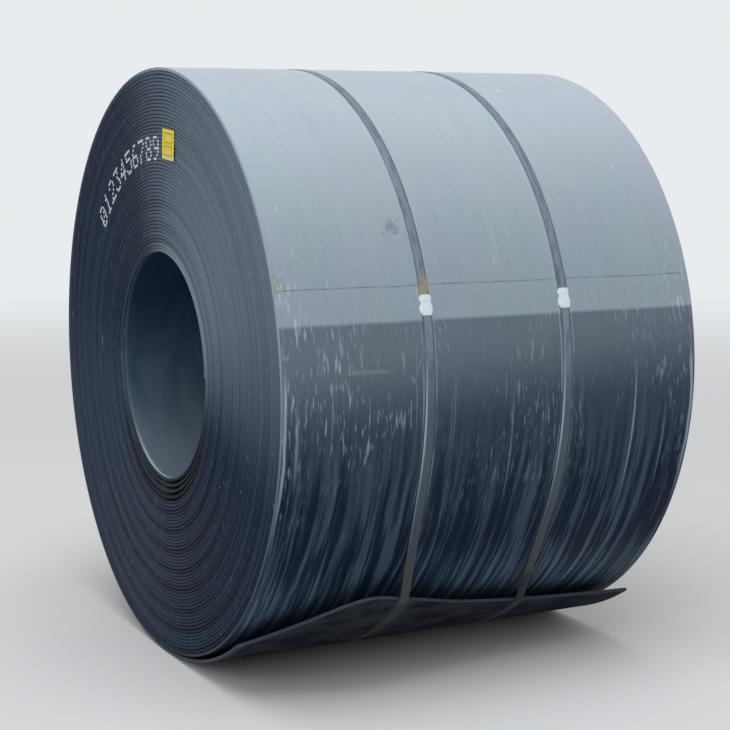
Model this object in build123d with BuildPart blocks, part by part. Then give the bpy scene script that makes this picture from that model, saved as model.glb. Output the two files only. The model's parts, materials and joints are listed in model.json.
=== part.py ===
"""Hot-rolled steel coil: wound strip with a sprung tail, two steel straps with crimped seals and an end label.

The bore axis lies along X, the front where the tail shows is -Y, and +Z is up. The origin is on
the floor, straight under the bore axis at mid-width. Lengths are in millimetres, angles in degrees.
"""

from math import acos, atan2, ceil, cos, degrees, hypot, radians, sin
import os

from build123d import *

os.makedirs("parts", exist_ok=True)

# Driving dimensions of the wound strip
BORE_DIAMETER = 762.0
STRIP_WIDTH = 1500.0
TURN_PITCH = 12.0
TURNS = 51

# Turned steps on the ends: neighbouring turns stand out in groups
TURNS_PER_STEP = 5
STEP_DEPTH = 4.0
INNER_STEP_DEPTH = 9.0

# Outer end of the strip, sprung off the coil as a tongue, with lengths measured from the floor line
TAIL_RADIUS = 1237.0
STRIP_THICKNESS = 11.75
CROTCH_ANGLE = 5.0
TAIL_CORNER_LENGTH = 680.0
TAIL_SHOULDER_LENGTH = 805.0
TAIL_TIP_LENGTH = 943.0
TAIL_LEFT_STRAP_LENGTH = 911.0
TAIL_MIDDLE_LENGTH = 822.0
TAIL_RIGHT_STRAP_LENGTH = 762.0
SHOULDER_SHARE = 0.10
TIP_SHARE = 0.25

# Steel straps and their crimped seals
STRAP_WIDTH = 32.0
STRAP_THICKNESS = 1.0
SEAL_WIDTH = 45.0
SEAL_LENGTH = 62.0
SEAL_THICKNESS = 2.0
SEAL_ANGLE = 164.6
CRIMP_DEPTH = 6.0
CRIMP_WIDTH = 14.0

# Label on the left end
LABEL_WIDTH = 105.0
LABEL_HEIGHT = 100.0
LABEL_THICKNESS = 0.8
LABEL_RADIUS = 753.0
LABEL_ANGLE = 99.0
LABEL_TILT = 5.0

# Gap between pieces that lie on each other
SEAT = 0.3

# Sizes that follow from the driving ones
bore_radius = BORE_DIAMETER / 2
winding_radius = bore_radius + TURNS * TURN_PITCH
half_width = STRIP_WIDTH / 2
strap_x = STRIP_WIDTH / 6
coil_floor = SEAT + STRAP_THICKNESS
axis_height = coil_floor + winding_radius + TURN_PITCH

# The outermost turn is drawn as two half circles whose centres stand a quarter pitch off the axis
back_radius = winding_radius + 3 * TURN_PITCH / 4
front_radius = winding_radius + TURN_PITCH / 4
back_centre_z = coil_floor + back_radius
front_centre_z = back_centre_z + TURN_PITCH / 2
top_z = back_centre_z + back_radius
tail_centre_z = coil_floor + TAIL_RADIUS
tail_inner_radius = TAIL_RADIUS - STRIP_THICKNESS


def tail_angle(length):
    """Angle on the tail's arc, from straight down, of a length along the tail."""
    return degrees(length / TAIL_RADIUS)


def tail_point(angle, radius=TAIL_RADIUS):
    """Point (y, z) on the tail's arc at an angle from straight down towards the front."""
    return (-radius * sin(radians(angle)), tail_centre_z - radius * cos(radians(angle)))


def front_point(angle):
    """Point (y, z) on the front of the outermost turn at an angle from straight down."""
    return (-front_radius * sin(radians(angle)), front_centre_z - front_radius * cos(radians(angle)))


# Profile of one end's turned steps, then the same mirrored for the other end
step_count = ceil(TURNS / TURNS_PER_STEP)
step_width = TURN_PITCH * TURNS_PER_STEP
step_radii = [bore_radius + step_width * i for i in range(step_count)] + [winding_radius]
step_depths = [INNER_STEP_DEPTH] + [STEP_DEPTH * (i % 2) for i in range(1, step_count)]
right_edge = []
for inner, outer, depth in zip(step_radii, step_radii[1:], step_depths):
    right_edge += [(half_width - depth, inner), (half_width - depth, outer)]
left_edge = [(-x, radius) for x, radius in reversed(right_edge)]

# The trimmed end of the tail is drawn on a plane that touches the tail between its corner and its tip
trim_angle = tail_angle((TAIL_CORNER_LENGTH + TAIL_TIP_LENGTH) / 2)
trim_normal = (0, -sin(radians(trim_angle)), -cos(radians(trim_angle)))
trim_plane = Plane(origin=(0, *tail_point(trim_angle)), x_dir=(1, 0, 0), z_dir=trim_normal)
trim_margin = 2 * STRIP_THICKNESS


def trim_height(length):
    """Height on the trim plane of a length along the tail."""
    return TAIL_RADIUS * sin(radians(tail_angle(length) - trim_angle))


with BuildPart() as coil:
    # The turned roll of strip with its bore
    with BuildSketch(Plane(origin=(0, 0, axis_height), x_dir=(1, 0, 0), z_dir=(0, -1, 0))):
        with BuildLine():
            Polyline(*right_edge, *left_edge, close=True)
        make_face()
    revolve(axis=Axis((0, 0, axis_height), (1, 0, 0)))

    # The outermost turn rises on the back from the floor line, then runs down the front behind the tail
    with BuildSketch(Plane.YZ.offset(-half_width)):
        with BuildLine():
            floor_point = (0, coil_floor)
            cut_end = tail_angle(TAIL_TIP_LENGTH + trim_margin)
            back_half = ThreePointArc(floor_point, (back_radius, back_centre_z), (0, top_z))
            front_half = ThreePointArc(back_half @ 1, (-front_radius, front_centre_z), front_point(CROTCH_ANGLE))
            crotch = Line(front_half @ 1, tail_point(CROTCH_ANGLE, tail_inner_radius))
            tail_inside = ThreePointArc(
                crotch @ 1,
                tail_point(cut_end / 2, tail_inner_radius),
                tail_point(cut_end, tail_inner_radius),
            )
            tail_end = Line(tail_inside @ 1, tail_point(cut_end))
            ThreePointArc(tail_end @ 1, tail_point(cut_end / 2), floor_point)
        make_face()
        with Locations((0, axis_height)):
            Circle(winding_radius - TURN_PITCH, mode=Mode.SUBTRACT)
    extrude(amount=STRIP_WIDTH)

    # The tail's end is trimmed to a tongue that is highest left of the middle
    with BuildSketch(trim_plane):
        with BuildLine():
            low = trim_height(TAIL_CORNER_LENGTH)
            high = trim_height(TAIL_TIP_LENGTH + 2 * trim_margin)
            side = half_width + trim_margin
            tongue = Spline(
                (-half_width, low),
                (-half_width + SHOULDER_SHARE * STRIP_WIDTH, trim_height(TAIL_SHOULDER_LENGTH)),
                (-half_width + TIP_SHARE * STRIP_WIDTH, trim_height(TAIL_TIP_LENGTH)),
                (-strap_x, trim_height(TAIL_LEFT_STRAP_LENGTH)),
                (0, trim_height(TAIL_MIDDLE_LENGTH)),
                (strap_x, trim_height(TAIL_RIGHT_STRAP_LENGTH)),
                (half_width, low),
            )
            Polyline(tongue @ 1, (side, low), (side, high), (-side, high), (-side, low), tongue @ 0)
        make_face()
    extrude(amount=trim_margin, both=True, mode=Mode.SUBTRACT)

coil.part.label = "coil"
export_step(coil.part, "parts/coil.step")


def bridge_angle(tip):
    """Angle where a strap stretched from the tail's tip meets the front of the coil."""
    distance = hypot(tip[0], front_centre_z - tip[1])
    return degrees(atan2(-tip[0], front_centre_z - tip[1]) + acos(front_radius / distance))


strap_top = front_radius + SEAT + STRAP_THICKNESS
seal_top = strap_top + SEAT + SEAL_THICKNESS
seal_direction = (0, cos(radians(SEAL_ANGLE)), sin(radians(SEAL_ANGLE)))
seal_half_sweep = degrees(SEAL_LENGTH / 2 / front_radius)

# Each strap bears on the higher corner of the slanted edge that it crosses
left_slope = (TAIL_LEFT_STRAP_LENGTH - TAIL_MIDDLE_LENGTH) / strap_x
right_slope = (TAIL_MIDDLE_LENGTH - TAIL_RIGHT_STRAP_LENGTH) / strap_x

for side, x, tip_length in (
    ("left", -strap_x, TAIL_LEFT_STRAP_LENGTH + left_slope * STRAP_WIDTH / 2),
    ("right", strap_x, TAIL_RIGHT_STRAP_LENGTH + right_slope * STRAP_WIDTH / 2),
):
    # The strap follows the coil, bridges straight to the tail's tip and runs over the tail
    with BuildPart() as strap:
        with BuildSketch(Plane.YZ.offset(x - STRAP_WIDTH / 2)):
            with BuildLine():
                tip_angle = tail_angle(tip_length)
                tip = tail_point(tip_angle)
                back_half = ThreePointArc(floor_point, (back_radius, back_centre_z), (0, top_z))
                front_half = ThreePointArc(back_half @ 1, front_point(135), front_point(bridge_angle(tip)))
                Line(front_half @ 1, tip)
                ThreePointArc(tip, tail_point(tip_angle / 2), floor_point)
            make_face()
            offset(amount=SEAT + STRAP_THICKNESS, mode=Mode.REPLACE)
            offset(amount=-STRAP_THICKNESS, mode=Mode.SUBTRACT)
        extrude(amount=STRAP_WIDTH)
    strap.part.label = f"strap_{side}"
    export_step(strap.part, f"parts/strap_{side}.step")

    # The seal is a channel pressed over the strap, with a crimp notch in the middle of each long side
    with BuildPart() as seal:
        for start_x, inner_radius, width in (
            (x - SEAL_WIDTH / 2, strap_top + SEAT, SEAL_WIDTH),
            (x - SEAL_WIDTH / 2, front_radius + SEAT, SEAL_THICKNESS),
            (x + SEAL_WIDTH / 2 - SEAL_THICKNESS, front_radius + SEAT, SEAL_THICKNESS),
        ):
            with BuildSketch(Plane.YZ.offset(start_x)):
                with BuildLine():
                    centre = (0, front_centre_z)
                    start = SEAL_ANGLE - seal_half_sweep
                    inside = CenterArc(centre, inner_radius, start, 2 * seal_half_sweep)
                    outside = CenterArc(centre, seal_top, start, 2 * seal_half_sweep)
                    Line(inside @ 0, outside @ 0)
                    Line(inside @ 1, outside @ 1)
                make_face()
            extrude(amount=width)
        seal_origin = (
            x,
            front_radius * seal_direction[1],
            front_centre_z + front_radius * seal_direction[2],
        )
        with BuildSketch(Plane(origin=seal_origin, x_dir=(1, 0, 0), z_dir=seal_direction)):
            for hand in (-1, 1):
                with BuildLine():
                    Polyline(
                        (hand * (SEAL_WIDTH / 2 - CRIMP_DEPTH), 0),
                        (hand * (SEAL_WIDTH / 2 + CRIMP_DEPTH), CRIMP_WIDTH),
                        (hand * (SEAL_WIDTH / 2 + CRIMP_DEPTH), -CRIMP_WIDTH),
                        close=True,
                    )
                make_face()
        extrude(amount=4 * SEAL_THICKNESS, mode=Mode.SUBTRACT)
    seal.part.label = f"seal_{side}"
    export_step(seal.part, f"parts/seal_{side}.step")

# The label lies flat on the standing turns of the left end
label_y = LABEL_RADIUS * cos(radians(LABEL_ANGLE))
label_z = axis_height + LABEL_RADIUS * sin(radians(LABEL_ANGLE))
label_plane = Plane(origin=(-half_width - SEAT, label_y, label_z), x_dir=(0, -1, 0), z_dir=(-1, 0, 0))
with BuildPart() as end_label:
    with BuildSketch(label_plane):
        Rectangle(LABEL_WIDTH, LABEL_HEIGHT, rotation=-LABEL_TILT)
    extrude(amount=LABEL_THICKNESS)
end_label.part.label = "end_label"
export_step(end_label.part, "parts/end_label.step")
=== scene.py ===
"""Looks of a strapped coil of hot-rolled steel strip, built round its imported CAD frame.

Lengths are in metres, in the CAD's own frame: the bore axis lies along X, the front where the sprung
tail shows is -Y, the labelled end is -X and the floor is z = 0. The strip is followed from its tail
inwards: a station is a place along the strip, and a turn is counted from the floor line under the axis.
"""

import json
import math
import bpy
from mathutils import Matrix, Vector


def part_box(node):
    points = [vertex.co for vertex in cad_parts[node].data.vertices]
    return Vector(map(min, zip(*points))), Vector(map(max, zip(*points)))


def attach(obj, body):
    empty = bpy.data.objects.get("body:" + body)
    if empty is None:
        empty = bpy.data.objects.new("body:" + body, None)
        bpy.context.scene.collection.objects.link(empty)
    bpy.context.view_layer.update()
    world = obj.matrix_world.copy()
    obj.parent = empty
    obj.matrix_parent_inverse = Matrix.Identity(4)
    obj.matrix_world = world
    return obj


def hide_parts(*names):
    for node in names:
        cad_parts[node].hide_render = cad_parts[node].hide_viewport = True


bl_info = {
    "name": "Steel coil",
    "version": (1, 0, 0),
    "blender": (4, 5, 0),
    "location": "3D View > Sidebar > Steel coil",
    "description": "Dresses a strapped coil of hot-rolled steel strip",
    "category": "Object",
}

import bmesh
import bpy
import numpy as np
from bpy.props import FloatProperty, FloatVectorProperty, IntProperty, PointerProperty
from mathutils import Vector

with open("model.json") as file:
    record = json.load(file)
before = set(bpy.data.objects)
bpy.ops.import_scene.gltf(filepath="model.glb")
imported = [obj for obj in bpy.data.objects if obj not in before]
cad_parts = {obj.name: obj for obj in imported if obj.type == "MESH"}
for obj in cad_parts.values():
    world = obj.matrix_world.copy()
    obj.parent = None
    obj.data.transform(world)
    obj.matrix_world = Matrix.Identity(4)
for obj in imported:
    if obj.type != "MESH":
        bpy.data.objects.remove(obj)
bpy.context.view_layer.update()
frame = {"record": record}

# Facts read from the frame
BORE = next(m for m in frame["record"]["mounts"] if m["name"] == "bore")
AXIS_Z = BORE["pos_m"][2]
BORE_RADIUS = BORE["dims"]["r_mm"] / 1000
COIL_LOW, COIL_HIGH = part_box("coil")
HALF_WIDTH = COIL_HIGH.x
OUTER_RADIUS = AXIS_Z - COIL_LOW.z
LABEL_LOW, LABEL_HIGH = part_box("end_label")
STRAP_X = {
    "strap_left": (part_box("strap_left")[0].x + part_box("strap_left")[1].x) / 2,
    "strap_right": (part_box("strap_right")[0].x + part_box("strap_right")[1].x) / 2,
}
LABEL_WIDTH, LABEL_HEIGHT, LABEL_TILT = 0.105, 0.100, math.radians(5)
SEAL_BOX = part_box("seal_left")
BODY = "root"

# Mesh fineness
STATIONS_PER_TURN = 120
WIDE_COLUMNS = 32
TAIL_STATIONS = 26
STRAP_STEP = 0.014

MM = 0.001
# Air between turns that touch, and how far the strip stays clear of the bore's and the ends' own lines
TURN_GAP, BORE_SHY, END_SHY = 0.1 * MM, 0.3 * MM, 0.2 * MM
# How far a strap wanders sideways, and the gap between its two layers under the seal
STRAP_WANDER, LAYER_GAP = 2.5 * MM, 0.1 * MM


def linear(hex_colour):
    """Linear RGB of an sRGB hex colour."""
    parts = [int(hex_colour[i : i + 2], 16) / 255 for i in (1, 3, 5)]
    return tuple(c / 12.92 if c <= 0.04045 else ((c + 0.055) / 1.055) ** 2.4 for c in parts)


def colour(name, description, hex_colour):
    """Colour property with an sRGB hex default."""
    return FloatVectorProperty(
        name=name, description=description, subtype="COLOR", size=3, min=0, max=1, default=linear(hex_colour)
    )


def number(name, description, default, **settings):
    """Number property."""
    return FloatProperty(name=name, description=description, default=default, **settings)


def length(name, description, default):
    """Length property in metres."""
    return number(name, description, default, unit="LENGTH", precision=5)


def rgba(value):
    """A colour property with full alpha."""
    return (*value, 1.0)


class SteelCoilWinding(bpy.types.PropertyGroup):
    """How the strip is wound, and the shape of its sprung tail"""

    turns: number("Turns", "Turns from the floor line to the inner end", 51.75)
    strip: length("Strip", "Thickness that the strip is drawn with", 0.0107)
    pitch: length("Outer pitch", "How far the outermost turn steps in as it runs once round", 0.012)
    edge_round: length("Edge rounding", "How far the rolled edge is rounded back", 0.004)
    group: number("Group", "Turns from one open gap to the next", 6.05)
    loose_gap: length("Loose gap", "Extra gap under each of the innermost turns", 0.0092)
    loose_turns: number("Loose turns", "Innermost turns that hang loose", 4.0)
    drift: length("Drift", "Largest side shift of one turn against the next", 0.0026)
    recess: length("Recess", "How far the innermost turns stand back from the ends", 0.006)
    tail_radius: length("Tail radius", "Radius of the arc on which the tail springs off", 1.237)
    tail_corner: length("Tail corner", "Length of the tail from the floor line at both ends", 0.680)
    tail_shoulder: length("Tail shoulder", "Length of the tail a tenth of the width in", 0.805)
    tail_tip: length("Tail tip", "Longest length of the tail, a quarter of the width in", 0.943)
    tail_left: length("Tail at left strap", "Length of the tail under the left strap", 0.911)
    tail_middle: length("Tail middle", "Length of the tail at mid-width", 0.822)
    tail_right: length("Tail at right strap", "Length of the tail under the right strap", 0.762)
    seed: IntProperty(name="Seed", description="Seed of the random side shifts", default=7)


class SteelCoilStraps(bpy.types.PropertyGroup):
    """Sizes of the straps and their seals"""

    width: length("Strap width", "Width of each strap", 0.032)
    thickness: length("Strap thickness", "Thickness of each strap", 0.001)
    seat: length("Seat", "Gap between a strap and what it lies on", 0.0001)
    overlap: length("Overlap", "Length of strap that shows above the seal", 0.085)
    tuck: length("Tuck", "Length of the covered strap end below the seal", 0.050)
    seal_angle: number("Seal angle", "Height of the seal on the front", math.radians(15.4), subtype="ANGLE")
    seal_plate: length("Seal plate", "Thickness of the seal's sheet", 0.001)


class SteelCoilFinish(bpy.types.PropertyGroup):
    """Colours of the finishes"""

    # Rain film with painted sky sheen, paler towards the crown; the lower colour also paints light on the
    # lower bore
    crown_film_and_sheen: colour("Film crown", "Rain film and painted sky sheen at the crown", "#b0bbc6")
    lower_film_and_sheen: colour("Film edge", "Rain film and painted sky sheen at its lower edge", "#8e9ba5")
    # Painted light at the top of the flank
    lit_flank_scale: colour("Flank", "Mill scale with painted light right under the tide line", "#626e79")
    scale_mid: colour("Mid flank", "Mill scale at mid height", "#364354")
    # Painted shade close to the floor
    deep_scale_shade: colour("Deep scale", "Mill scale with painted shade close to the floor", "#061a2f")
    streak_pale: colour("Pale streak", "Long pale streaks low on the flank", "#3d4b5b")
    streak_dark: colour("Dark streak", "Long dark streaks low on the flank", "#04142a")
    # Painted light that lifts the scale and its streaks where the tail shades the flank
    scale_lifted_in_tail_shade: colour("Sheltered scale", "Scale painted lighter in the tail's shade", "#2f4052")
    pale_streak_lifted_in_tail_shade: colour("Sheltered pale streak", "Pale streaks painted lighter in the tail's shade", "#5b6b7b")
    dark_streak_lifted_in_tail_shade: colour("Sheltered dark streak", "Dark streaks painted lighter in the tail's shade", "#172434")
    damp: colour("Damp band", "Damp scale beside the straps", "#3d4a50")
    # Painted shade on the tail's underside, in darker and paler patches
    tail_shade: colour("Tail shade", "Painted shade on the tail's underside", "#11151a")
    tail_shade_pale: colour("Pale tail shade", "Paler patches of painted shade on the tail", "#2d3034")
    run_off: colour("Run-off", "Pale run-off dashes and water lines", "#98a7b4")
    # Bright wear on corners; on the innermost turns and the bore's rim it is also painted highlight
    rubbed_and_highlight: colour("Rubbed corner", "Bright wear on corners, and painted highlights", "#cbd6df")
    edge_dark: colour("Dark edge", "Mill edges of the turns", "#16253a")
    # Pale scale; on the mill edges it is also painted sheen
    pale_scale_and_sheen: colour("Pale edge", "Pale scale, and painted sheen on the mill edges", "#5f6b7a")
    bore: colour("Bore", "Inner wall of the coil", "#384a5d")
    # Painted shade on the upper bore
    bore_upper_shade: colour("Upper bore", "Painted shade on the upper part of the bore", "#08213c")
    strap: colour("Strap", "Blued strapping", "#76818f")
    # Painted shade: the low and deep strap colours darken it down the flank, the edge colour shades its edges
    # and marks its blotches
    strap_flank_shade: colour("Low strap", "Blued strapping with painted shade on the flank", "#4a545e")
    strap_deep_shade: colour("Deep strap shade", "Strapping with painted shade low on the flank", "#2f3a40")
    strap_blotch_and_edge_shade: colour("Strap edge", "Painted shade at the edges, and blotches of the strapping", "#4a5663")
    rust: colour("Rust", "Rust on the strap", "#938c70")
    grime: colour("Grime", "Greenish grime low on the straps", "#3b3f30")
    seal: colour("Seal", "Zinc-plated seal", "#d3dde2")
    label: colour("Label", "Label paper", "#dccb33")
    label_frame: colour("Label frame", "Printed frames on the label", "#8f8420")
    ink: colour("Marking ink", "White marking ink", "#c6cdd6")


class SteelCoilStage(bpy.types.PropertyGroup):
    """Camera, floor and light"""

    camera_place: FloatVectorProperty(
        name="Camera", description="Place of the camera", unit="LENGTH", default=(-2.802, -5.493, 1.798)
    )
    camera_aim: FloatVectorProperty(
        name="Aim", description="Point that the camera looks at", unit="LENGTH", default=(0.04, 0.0, 0.955)
    )
    lens: number("Lens", "Focal length in millimetres", 85.0)
    floor: colour("Floor", "Pale floor", "#e0e2e4")
    backdrop: colour("Backdrop", "Pale background", "#e9ecee")
    sky_light: number("Sky light", "Strength of the all-round light", 0.55)
    top_light: number("Top light", "Power of the overhead softbox in watts", 640.0)
    side_light: number("Side light", "Power of the side softbox in watts", 330.0)
    fill_light: number("Fill light", "Power of the right softbox in watts", 50.0)


def ease(value, start, end):
    """Smooth step of an array from 0 at start to 1 at end."""
    t = np.clip((value - start) / (end - start), 0.0, 1.0)
    return t * t * (3 - 2 * t)


def make_piece(name, vertices, faces, materials, face_slots=None, sharp=20.0, **marks):
    """Closed mesh object from plain lists, smooth but for edges sharper than an angle in degrees.

    Marks are numbers for each vertex that the materials read by name.
    """
    mesh = bpy.data.meshes.new(name)
    mesh.from_pydata([tuple(v) for v in vertices], [], faces)
    for material in materials:
        mesh.materials.append(material)
    if face_slots is not None:
        mesh.polygons.foreach_set("material_index", np.asarray(face_slots, dtype=np.int32))
    solid = bmesh.new()
    solid.from_mesh(mesh)
    bmesh.ops.recalc_face_normals(solid, faces=solid.faces)
    solid.to_mesh(mesh)
    solid.free()
    mesh.polygons.foreach_set("use_smooth", np.ones(len(mesh.polygons), dtype=bool))
    mesh.set_sharp_from_angle(angle=math.radians(sharp))
    for mark, values in marks.items():
        layer = mesh.attributes.new(mark, "FLOAT", "POINT")
        layer.data.foreach_set("value", np.asarray(values, dtype=np.float32))
    piece = bpy.data.objects.new(name, mesh)
    bpy.context.scene.collection.objects.link(piece)
    return piece


def hand_in(piece, slot, *nodes):
    """The piece rides on the body and stands for the nodes named, which are hidden; the slot is not used."""
    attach(piece, BODY)
    if nodes:
        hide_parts(*nodes)


# Shape of the wound strip


def tail_length(x, winding):
    """Length of the tail from the floor line to its trimmed edge, at places across the width."""
    knots = np.array([-1, -0.8, -0.5, -1 / 3, 0, 1 / 3, 1]) * HALF_WIDTH
    places = ("corner", "shoulder", "tip", "left", "middle", "right", "corner")
    lengths = np.array([getattr(winding, "tail_" + place) for place in places])
    slopes = np.gradient(lengths, knots)
    i = np.clip(np.searchsorted(knots, x) - 1, 0, len(knots) - 2)
    span = knots[i + 1] - knots[i]
    t = np.clip((x - knots[i]) / span, 0, 1)
    return (
        (2 * t**3 - 3 * t**2 + 1) * lengths[i]
        + (t**3 - 2 * t**2 + t) * span * slopes[i]
        + (3 * t**2 - 2 * t**3) * lengths[i + 1]
        + (t**3 - t**2) * span * slopes[i + 1]
    )


def waves(turn, *parts):
    """Sum of sine waves along the strip: the height, the length in turns and the phase of each."""
    return sum(height * np.sin(2 * math.pi * turn / period + phase) for height, period, phase in parts)


def wound_radii(winding):
    """Turn count, angle, outer radius, gap shade and fill at each station of the strip.

    Gaps open in groups of turns, most at the bottom, and the innermost turns sag off their neighbours.
    The rest of each gap is set angle by angle, so that the bore stays round. The fill is how much thicker
    the strip is drawn away from its edges: the turns meet there, and no light shows through the coil.
    """
    per = STATIONS_PER_TURN
    count = round(winding.turns * per)
    turn = np.arange(count + 1) / per
    angle = 2 * math.pi * turn - math.pi / 2
    low = 0.5 - 0.5 * np.sin(angle)
    strength = 2.3 + waves(turn, (0.6, 16.3, 0.8), (1.2, 9.4, 2.1))
    peak = 0.25 + strength * low**2.2
    phase = turn / winding.group - 0.31 + waves(turn, (0.05, 13.7, 1.0))
    grouped = np.exp(peak * np.cos(2 * math.pi * phase)) / np.i0(peak)
    grouped *= 1 - ease(turn, winding.turns - 2.6, winding.turns - 2.1)
    from_bottom = np.mod(angle - math.pi / 2, 2 * math.pi) - math.pi
    under = np.clip(np.cos(1.15 * from_bottom), 0, 1) ** 1.5
    start = winding.turns - 1 - winding.loose_turns
    sagging = winding.loose_gap * under * ease(turn, start - 0.5, start + 0.5)
    thickness = winding.strip + TURN_GAP
    outermost = 1 - ease(turn, 0.6, 1.4)
    grouped *= 1 - outermost
    loose = sagging + (winding.pitch - thickness) * outermost
    inner = BORE_RADIUS + BORE_SHY + winding.strip
    gap = np.zeros(count + 1)
    radius = np.full(count + 1, OUTER_RADIUS)
    for column in range(per):
        stations = np.arange(column, count + 1, per)
        if column:
            radius[column] = OUTER_RADIUS - winding.pitch * turn[column]
        steps = stations[:-1]
        last = inner + thickness * (winding.turns - turn[stations[-1]])
        spare = radius[column] - last - thickness * len(steps) - loose[steps].sum()
        gap[steps] = spare / grouped[steps].sum() * grouped[steps] + loose[steps]
        radius[stations[1:]] = radius[column] - np.cumsum(thickness + gap[steps])
    shade = np.clip(grouped * low**1.5 / 3, 0, 1) + np.clip(sagging / (4 * MM), 0, 1)
    shade = np.maximum(shade, 0.5 * np.concatenate([np.zeros(per), shade[:-per]]))
    fill = np.clip(gap - sagging, 0, None) * ease(turn, 0.0, 0.1)
    fill *= 1 - ease(turn, winding.turns - 1.1, winding.turns - 1.02)
    return turn, angle, radius, shade, fill


def side_shift(turn, winding):
    """Side shift of the strip along its length, and how far its edges stand back from the ends."""
    rng = np.random.default_rng(winding.seed)
    knots = np.arange(0, winding.turns + 1.5, 0.5)
    jitter = np.interp(turn, knots, rng.uniform(-1, 1, len(knots)))
    lean = waves(turn, (0.5, 7.7, 2.0), (0.3, 3.1, 0.0))
    settled = ease(turn, 0.3, 1.2)
    shift = winding.drift * (0.55 * jitter + 0.45 * lean) * settled
    inner = ease(turn, winding.turns - 7, winding.turns - 1)
    back = winding.drift * settled + winding.recess * inner + END_SHY
    return shift, back


def strip_loops(winding):
    """Closed loops of points round the strip's section from the tail's edge inwards, with turn and shade."""
    t = winding.strip
    turn, angle, radius, shade, fill = wound_radii(winding)
    shift, back = side_shift(turn, winding)
    edge_in = np.array([0.22, 0.0, 0.22]) * winding.edge_round
    edge_depth = np.array([0.125, 0.5, 0.875]) * t
    wide = np.linspace(0, 1, WIDE_COLUMNS + 1)
    narrow = wide[[0, 1, -2, -1]]
    wide_until = STATIONS_PER_TURN + 4
    centre_z = COIL_LOW.z + winding.tail_radius
    loops = []

    def section(fractions, left, right, extra, place):
        """One loop: outer surface left to right, right edge, inner surface back, left edge."""
        xs = left + winding.edge_round + (right - left - 2 * winding.edge_round) * fractions
        depths = t + extra * ease(np.minimum(fractions, 1 - fractions), 0.0, wide[1])
        outer = [place(x, 0.0) for x in xs]
        inner = [place(x, depth) for x, depth in zip(xs[::-1], depths[::-1])]
        right_edge = [place(right - i, d) for i, d in zip(edge_in, edge_depth)]
        left_edge = [place(left + i, d) for i, d in zip(edge_in, edge_depth)][::-1]
        return outer + right_edge + inner + left_edge

    for k in range(TAIL_STATIONS, 0, -1):
        share = k / TAIL_STATIONS

        def on_tail(x, depth):
            reach = float(tail_length(np.clip(x, -HALF_WIDTH, HALF_WIDTH), winding))
            swing = reach * share / winding.tail_radius
            r = winding.tail_radius - depth
            return (x, -r * math.sin(swing), centre_z - r * math.cos(swing))

        loops.append(section(wide, back[0] - HALF_WIDTH, HALF_WIDTH - back[0], 0.0, on_tail))
    for i in range(len(turn)):
        fractions = wide if i <= wide_until else narrow
        cos_a, sin_a, r = math.cos(angle[i]), math.sin(angle[i]), radius[i]

        def on_turn(x, depth):
            return (x, (r - depth) * cos_a, AXIS_Z + (r - depth) * sin_a)

        left = -HALF_WIDTH + back[i] + shift[i]
        right = HALF_WIDTH - back[i] + shift[i]
        loops.append(section(fractions, left, right, fill[i], on_turn))
    flat = np.zeros(TAIL_STATIONS)
    return loops, np.concatenate([flat, turn]), np.concatenate([flat, shade])


def join_loops(loops, bore_from):
    """Vertices, faces and face slots of the strip: 0 rolled surface, 1 mill edge, 2 bore wall."""
    vertices, starts = [], []
    for loop in loops:
        starts.append(len(vertices))
        vertices += loop
    faces, slots = [], []
    for n, (a, b) in enumerate(zip(loops, loops[1:])):
        sa, sb = starts[n], starts[n + 1]
        na, nb = len(a), len(b)
        ca, cb = (na - 6) // 2, (nb - 6) // 2
        inner_slot = 2 if n >= bore_from else 0
        if na == nb:
            for j in range(na):
                k = (j + 1) % na
                faces.append((sa + j, sa + k, sb + k, sb + j))
                on_edge = ca - 1 <= j < ca + 3 or j >= 2 * ca + 2
                slots.append(1 if on_edge else (0 if j < ca else inner_slot))
            continue
        for a0, b0 in ((sa, sb), (sa + ca + 3, sb + cb + 3)):
            faces.append((a0, a0 + 1, b0 + 1, b0))
            faces.append(tuple(range(a0 + 1, a0 + ca - 1)) + (b0 + 2, b0 + 1))
            faces.append((a0 + ca - 2, a0 + ca - 1, b0 + 3, b0 + 2))
            slots += [0, 0, 0]
        for j in range(4):
            faces.append((sa + ca - 1 + j, sa + ca + j, sb + cb + j, sb + cb - 1 + j))
            k = (2 * ca + 3 + j) % na
            m = (2 * cb + 3 + j) % nb
            faces.append((sa + 2 * ca + 2 + j, sa + k, sb + m, sb + 2 * cb + 2 + j))
            slots += [1, 1]
    first = starts[0]
    count = (len(loops[0]) - 6) // 2
    for j in range(count - 1):
        faces.append((first + j + 1, first + j, first + 2 * count + 2 - j, first + 2 * count + 1 - j))
        slots.append(1)
    faces.append(tuple(first + count - 1 + j for j in range(4, -1, -1)))
    faces.append((first,) + tuple(first + 2 * count + 2 + j for j in range(3, -1, -1)))
    last = starts[-1]
    faces.append(tuple(last + j for j in range(len(loops[-1]))))
    slots += [1, 1, 1]
    return vertices, faces, slots


# Shape of the straps and seals


def outline(tip, winding):
    """Hull round the outermost turn and the tail up to a length along it, as (y, z) points in order."""
    lap_points, tail_points = 721, 60
    first = np.linspace(0, 1, lap_points)
    angle = 2 * math.pi * first - math.pi / 2
    radius = OUTER_RADIUS - winding.pitch * first
    lap = np.stack([radius * np.cos(angle), AXIS_Z + radius * np.sin(angle)], 1)
    swing = np.linspace(0, tip / winding.tail_radius, tail_points)
    centre_z = COIL_LOW.z + winding.tail_radius
    tail = np.stack([-winding.tail_radius * np.sin(swing), centre_z - winding.tail_radius * np.cos(swing)], 1)
    points = sorted(map(tuple, np.vstack([lap, tail])))

    def half(points):
        chain = []
        for p in points:
            while len(chain) > 1:
                (ay, az), (by, bz) = chain[-2], chain[-1]
                if (by - ay) * (p[1] - az) - (bz - az) * (p[0] - ay) > 0:
                    break
                chain.pop()
            chain.append(p)
        return chain[:-1]

    return np.array(half(points) + half(points[::-1]))


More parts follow.
